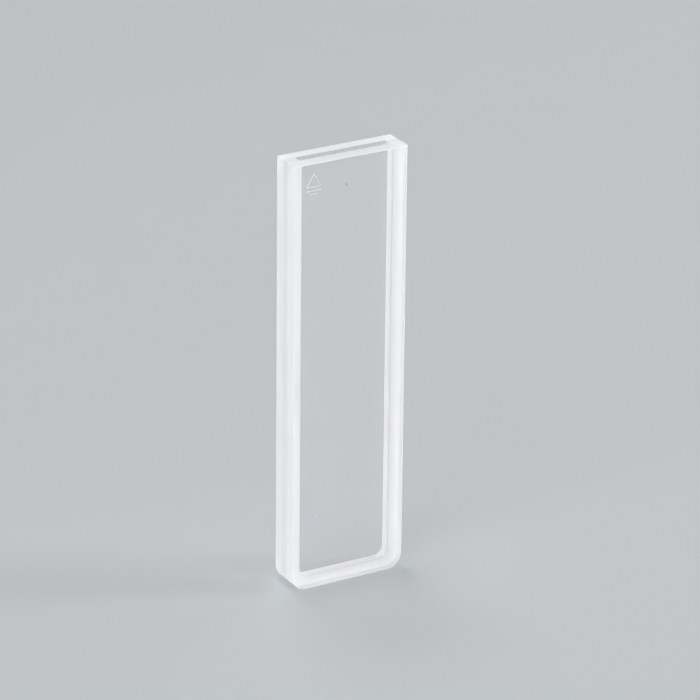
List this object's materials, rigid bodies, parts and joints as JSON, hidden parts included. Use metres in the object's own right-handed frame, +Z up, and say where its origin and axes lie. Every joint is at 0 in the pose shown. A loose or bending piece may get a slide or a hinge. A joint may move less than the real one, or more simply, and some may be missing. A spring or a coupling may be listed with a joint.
{
  "type": "cuvette",
  "caption": "Flat open-topped quartz cuvette: clear polished windows fused to a U-shaped ground spacer, standing upright.",
  "frame": {"origin": "centre of the base, on the surface that the cell stands on", "axes": "+Z up to the open rim, +X across the width, Y along the light path through the windows"},
  "size_m": [0.0126, 0.0036, 0.045],
  "materials": {
    "polished_silica": "clear fused silica with polished faces and ground edges",
    "ground_silica": "fused silica ground to a fine white frost"
  },
  "bodies": {
    "root": {"front_window": "polished_silica", "spacer_frame": "ground_silica", "back_window": "polished_silica"}
  },
  "joints": []
}
